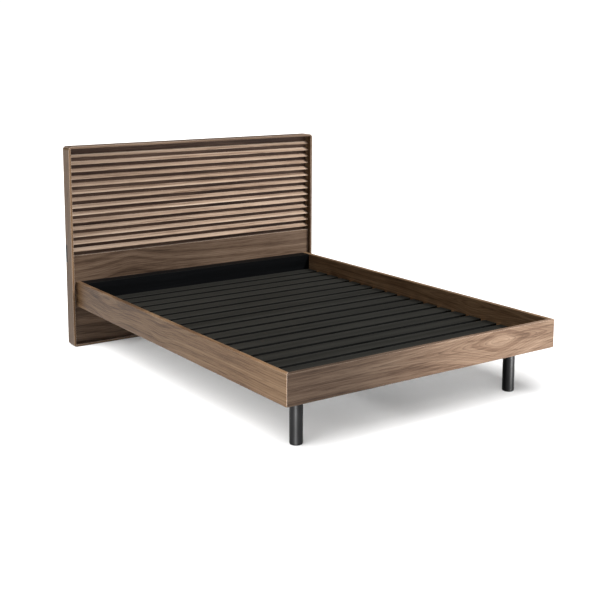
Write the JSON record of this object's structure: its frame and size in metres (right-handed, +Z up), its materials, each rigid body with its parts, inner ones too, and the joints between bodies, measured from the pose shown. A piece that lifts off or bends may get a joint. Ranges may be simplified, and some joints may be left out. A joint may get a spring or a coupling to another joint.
{
  "type": "platform bed",
  "caption": "Platform bed with a louvred walnut headboard, low side rails and footboard, dark slats and round front legs.",
  "frame": {"origin": "on the floor, in the middle of the bed's footprint", "axes": "+X across the bed to its left-hand side as a sleeper on it lies on their back, +Y from the foot to the headboard, +Z up"},
  "size_m": [1.673, 2.202, 1.153],
  "materials": {
    "walnut": "walnut veneer and boards under satin lacquer",
    "walnut_panel": "thin walnut-faced back panel, matt",
    "black_lacquer": "black satin lacquer on wood",
    "slat_charcoal": "charcoal paint on laminated wood",
    "ledger_pine": "sanded softwood",
    "leg_steel": "satin black powder coat on steel tube",
    "bracket_steel": "dark powder coat on steel plate",
    "bolt_steel": "dark zinc",
    "cap_plastic": "moulded black nylon",
    "module_plastic": "fine-textured black plastic"
  },
  "bodies": {
    "bed": {"headboard_side_left": "walnut", "headboard_side_right": "walnut", "headboard_top": "walnut", "headboard_bottom": "walnut", "headboard_fascia": "walnut", "headboard_back_panel": "walnut_panel", "side_rail_left": "walnut", "side_rail_right": "walnut", "footboard": "walnut", "louvre_1": "walnut", "louvre_2": "walnut", "louvre_3": "walnut", "louvre_4": "walnut", "louvre_5": "walnut", "louvre_6": "walnut", "louvre_7": "walnut", "louvre_8": "walnut", "louvre_9": "walnut", "louvre_10": "walnut", "louvre_11": "walnut", "louvre_12": "walnut", "louvre_13": "walnut", "louvre_14": "walnut", "power_module_left": "module_plastic", "power_module_right": "module_plastic", "head_rail": "black_lacquer", "slat_1": "slat_charcoal", "slat_2": "slat_charcoal", "slat_3": "slat_charcoal", "slat_4": "slat_charcoal", "slat_5": "slat_charcoal", "slat_6": "slat_charcoal", "slat_7": "slat_charcoal", "slat_8": "slat_charcoal", "slat_9": "slat_charcoal", "slat_10": "slat_charcoal", "slat_11": "slat_charcoal", "slat_12": "slat_charcoal", "slat_13": "slat_charcoal", "slat_14": "slat_charcoal", "slat_15": "slat_charcoal", "slat_16": "slat_charcoal", "slat_17": "slat_charcoal", "slat_18": "slat_charcoal", "side_ledger_left": "ledger_pine", "side_ledger_right": "ledger_pine", "foot_ledger": "ledger_pine", "centre_beam": "slat_charcoal", "centre_leg_front": "black_lacquer", "centre_leg_rear": "black_lacquer", "front_leg_left": "leg_steel", "front_leg_right": "leg_steel", "beam_hangers": "bracket_steel", "leg_corner_plates": "bracket_steel", "centre_leg_plates": "bracket_steel", "rail_brackets": "bracket_steel", "leg_end_caps": "cap_plastic", "frame_bolts": "bolt_steel"},
    "front_levelling_foot": {"levelling_foot_front": "cap_plastic"},
    "rear_levelling_foot": {"levelling_foot_rear": "cap_plastic"}
  },
  "joints": [
    {"name": "front_foot_screw", "type": "slide", "parent": "bed", "child": "front_levelling_foot", "axis": [0, 0, -1], "range_m": [0, 0.01]},
    {"name": "rear_foot_screw", "type": "slide", "parent": "bed", "child": "rear_levelling_foot", "axis": [0, 0, -1], "range_m": [0, 0.01]}
  ]
}
